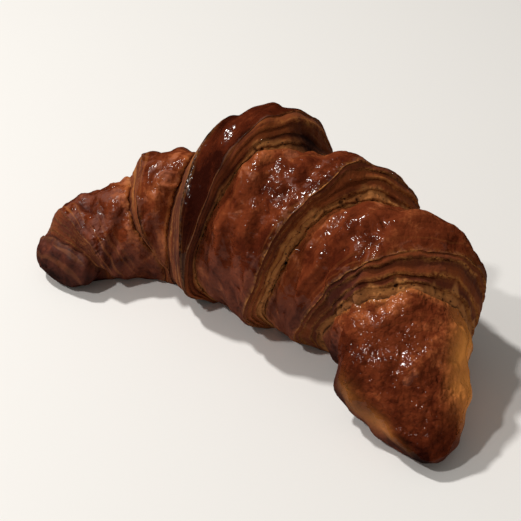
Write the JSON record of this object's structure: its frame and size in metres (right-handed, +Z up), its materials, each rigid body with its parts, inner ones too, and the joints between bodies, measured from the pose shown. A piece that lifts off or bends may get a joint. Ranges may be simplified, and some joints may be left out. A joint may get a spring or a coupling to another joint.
{
  "type": "croissant",
  "caption": "Baked crescent roll of laminated dough, with stepped rolled turns, a raised middle turn, glossy browned crust and a flat underside.",
  "frame": {"origin": "middle of the crescent's box, on the underside that it rests on", "axes": "+X along the crescent from the left horn to the right horn, hollow side towards -Y, +Z up"},
  "size_m": [0.1502, 0.0768, 0.0668],
  "materials": {
    "crust": "glossy egg-washed baked crust, red-brown to near black, with golden tan dough layers in the cut faces"
  },
  "bodies": {
    "root": {"croissant": "crust"}
  },
  "joints": []
}
